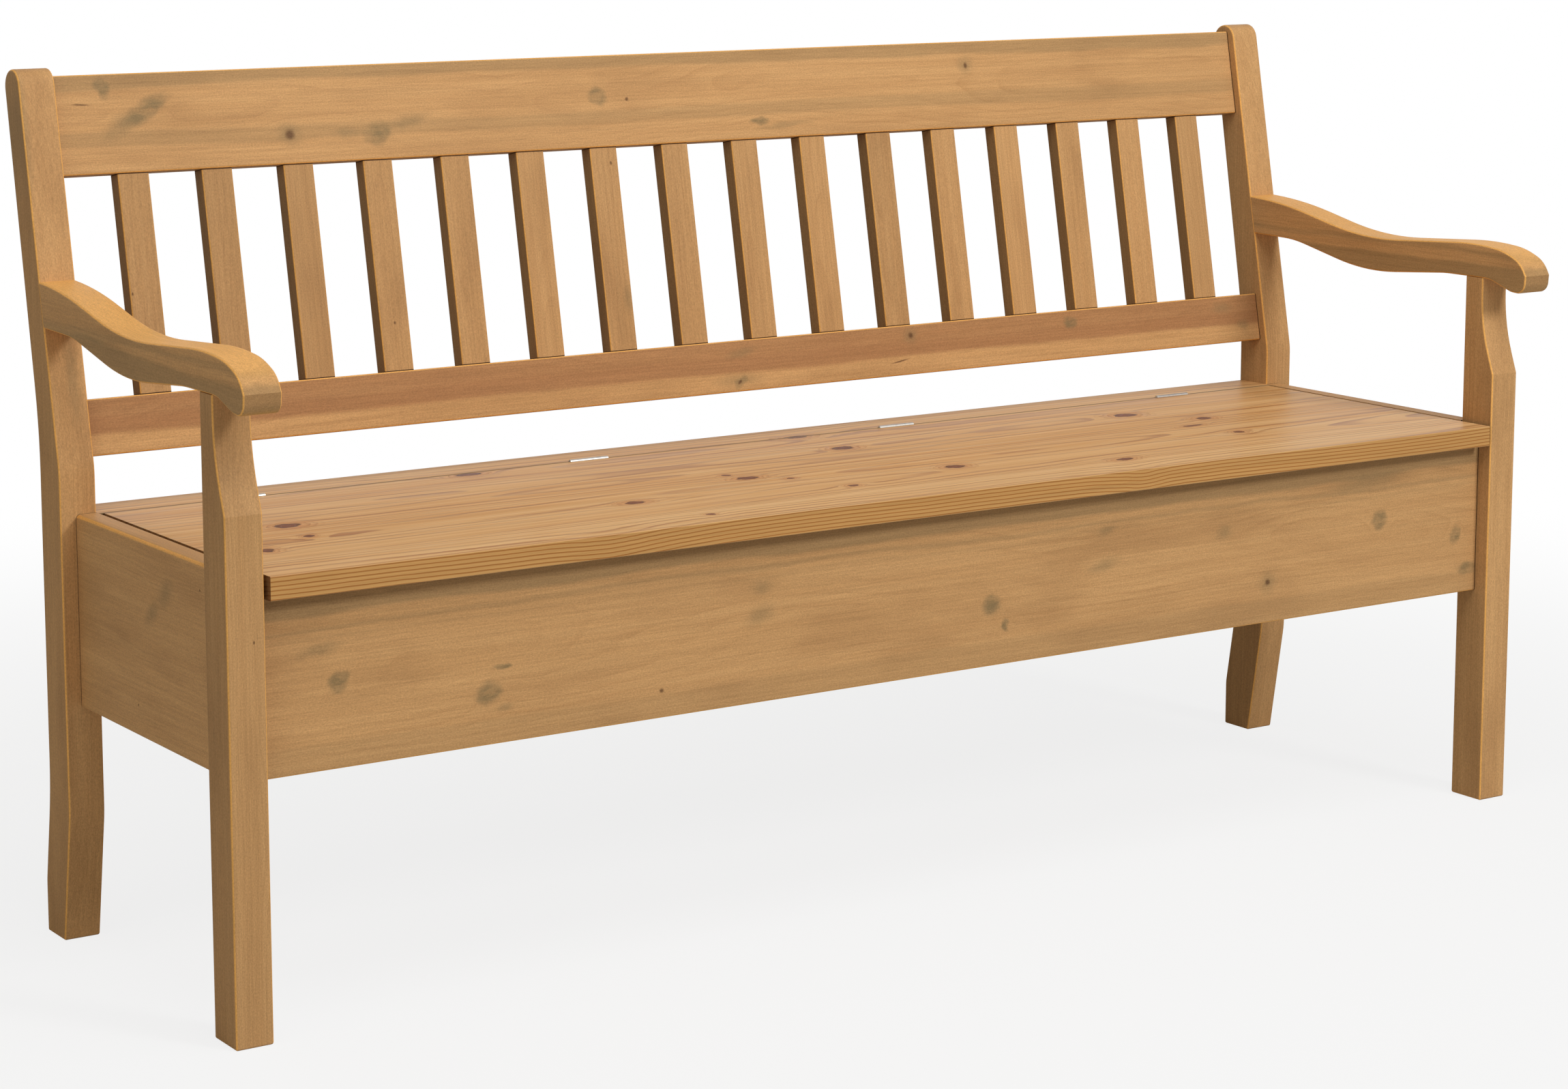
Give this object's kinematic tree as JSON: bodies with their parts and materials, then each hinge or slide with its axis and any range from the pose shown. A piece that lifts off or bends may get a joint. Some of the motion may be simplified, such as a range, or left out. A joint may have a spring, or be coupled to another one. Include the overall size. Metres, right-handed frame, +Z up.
{
  "type": "storage bench",
  "caption": "Pine storage bench with a leaning slatted back, curved arms and a board seat that lifts on butt hinges over a chest.",
  "frame": {"origin": "on the floor, under the middle of the bench's length and of its overall depth", "axes": "+X along the bench to its right-hand end as seen from in front, +Y to the back, +Z up; the front faces -Y"},
  "size_m": [1.702, 0.5662, 0.923],
  "materials": {
    "stained_pine": "honey-brown stain under a satin lacquer",
    "seat_pine": "clear satin lacquer on edge-glued staves",
    "inner_pine": "planed, not stained",
    "hinge_steel": "plated, satin",
    "zinc_steel": "bright zinc plated"
  },
  "bodies": {
    "bench": {"armrest_left": "stained_pine", "armrest_right": "stained_pine", "back_post_left": "stained_pine", "back_post_right": "stained_pine", "back_slat_01": "stained_pine", "back_slat_02": "stained_pine", "back_slat_03": "stained_pine", "back_slat_04": "stained_pine", "back_slat_05": "stained_pine", "back_slat_06": "stained_pine", "back_slat_07": "stained_pine", "back_slat_08": "stained_pine", "back_slat_09": "stained_pine", "back_slat_10": "stained_pine", "back_slat_11": "stained_pine", "back_slat_12": "stained_pine", "back_slat_13": "stained_pine", "back_slat_14": "stained_pine", "back_slat_15": "stained_pine", "back_slat_16": "stained_pine", "bottom_bearer": "inner_pine", "bottom_board_left": "inner_pine", "bottom_board_right": "inner_pine", "front_apron": "stained_pine", "front_post_left": "stained_pine", "front_post_right": "stained_pine", "hinge_fixed_leaf_1": "hinge_steel", "hinge_fixed_leaf_2": "hinge_steel", "hinge_fixed_leaf_3": "hinge_steel", "hinge_fixed_leaf_4": "hinge_steel", "hinge_pin_1": "hinge_steel", "hinge_pin_2": "hinge_steel", "hinge_pin_3": "hinge_steel", "hinge_pin_4": "hinge_steel", "hinge_screws_fixed": "zinc_steel", "ledge_front": "inner_pine", "ledge_left": "inner_pine", "ledge_rear": "inner_pine", "ledge_right": "inner_pine", "ledge_screws": "zinc_steel", "lower_rail": "stained_pine", "rear_panel": "stained_pine", "seat_rear_strip": "seat_pine", "side_panel_left": "stained_pine", "side_panel_right": "stained_pine", "top_rail": "stained_pine"},
    "lid": {"batten_screws": "zinc_steel", "hinge_lid_leaf_1": "hinge_steel", "hinge_lid_leaf_2": "hinge_steel", "hinge_lid_leaf_3": "hinge_steel", "hinge_lid_leaf_4": "hinge_steel", "hinge_screws_lid": "zinc_steel", "lid_batten_1": "inner_pine", "lid_batten_2": "inner_pine", "lid_batten_3": "inner_pine", "seat_lid": "seat_pine"}
  },
  "joints": [
    {"name": "lid_hinge", "type": "hinge", "parent": "bench", "child": "lid", "pos_m": [0, 0.16037, 0.4635], "axis": [-1, 0, 0], "range_deg": [0, 101]}
  ]
}
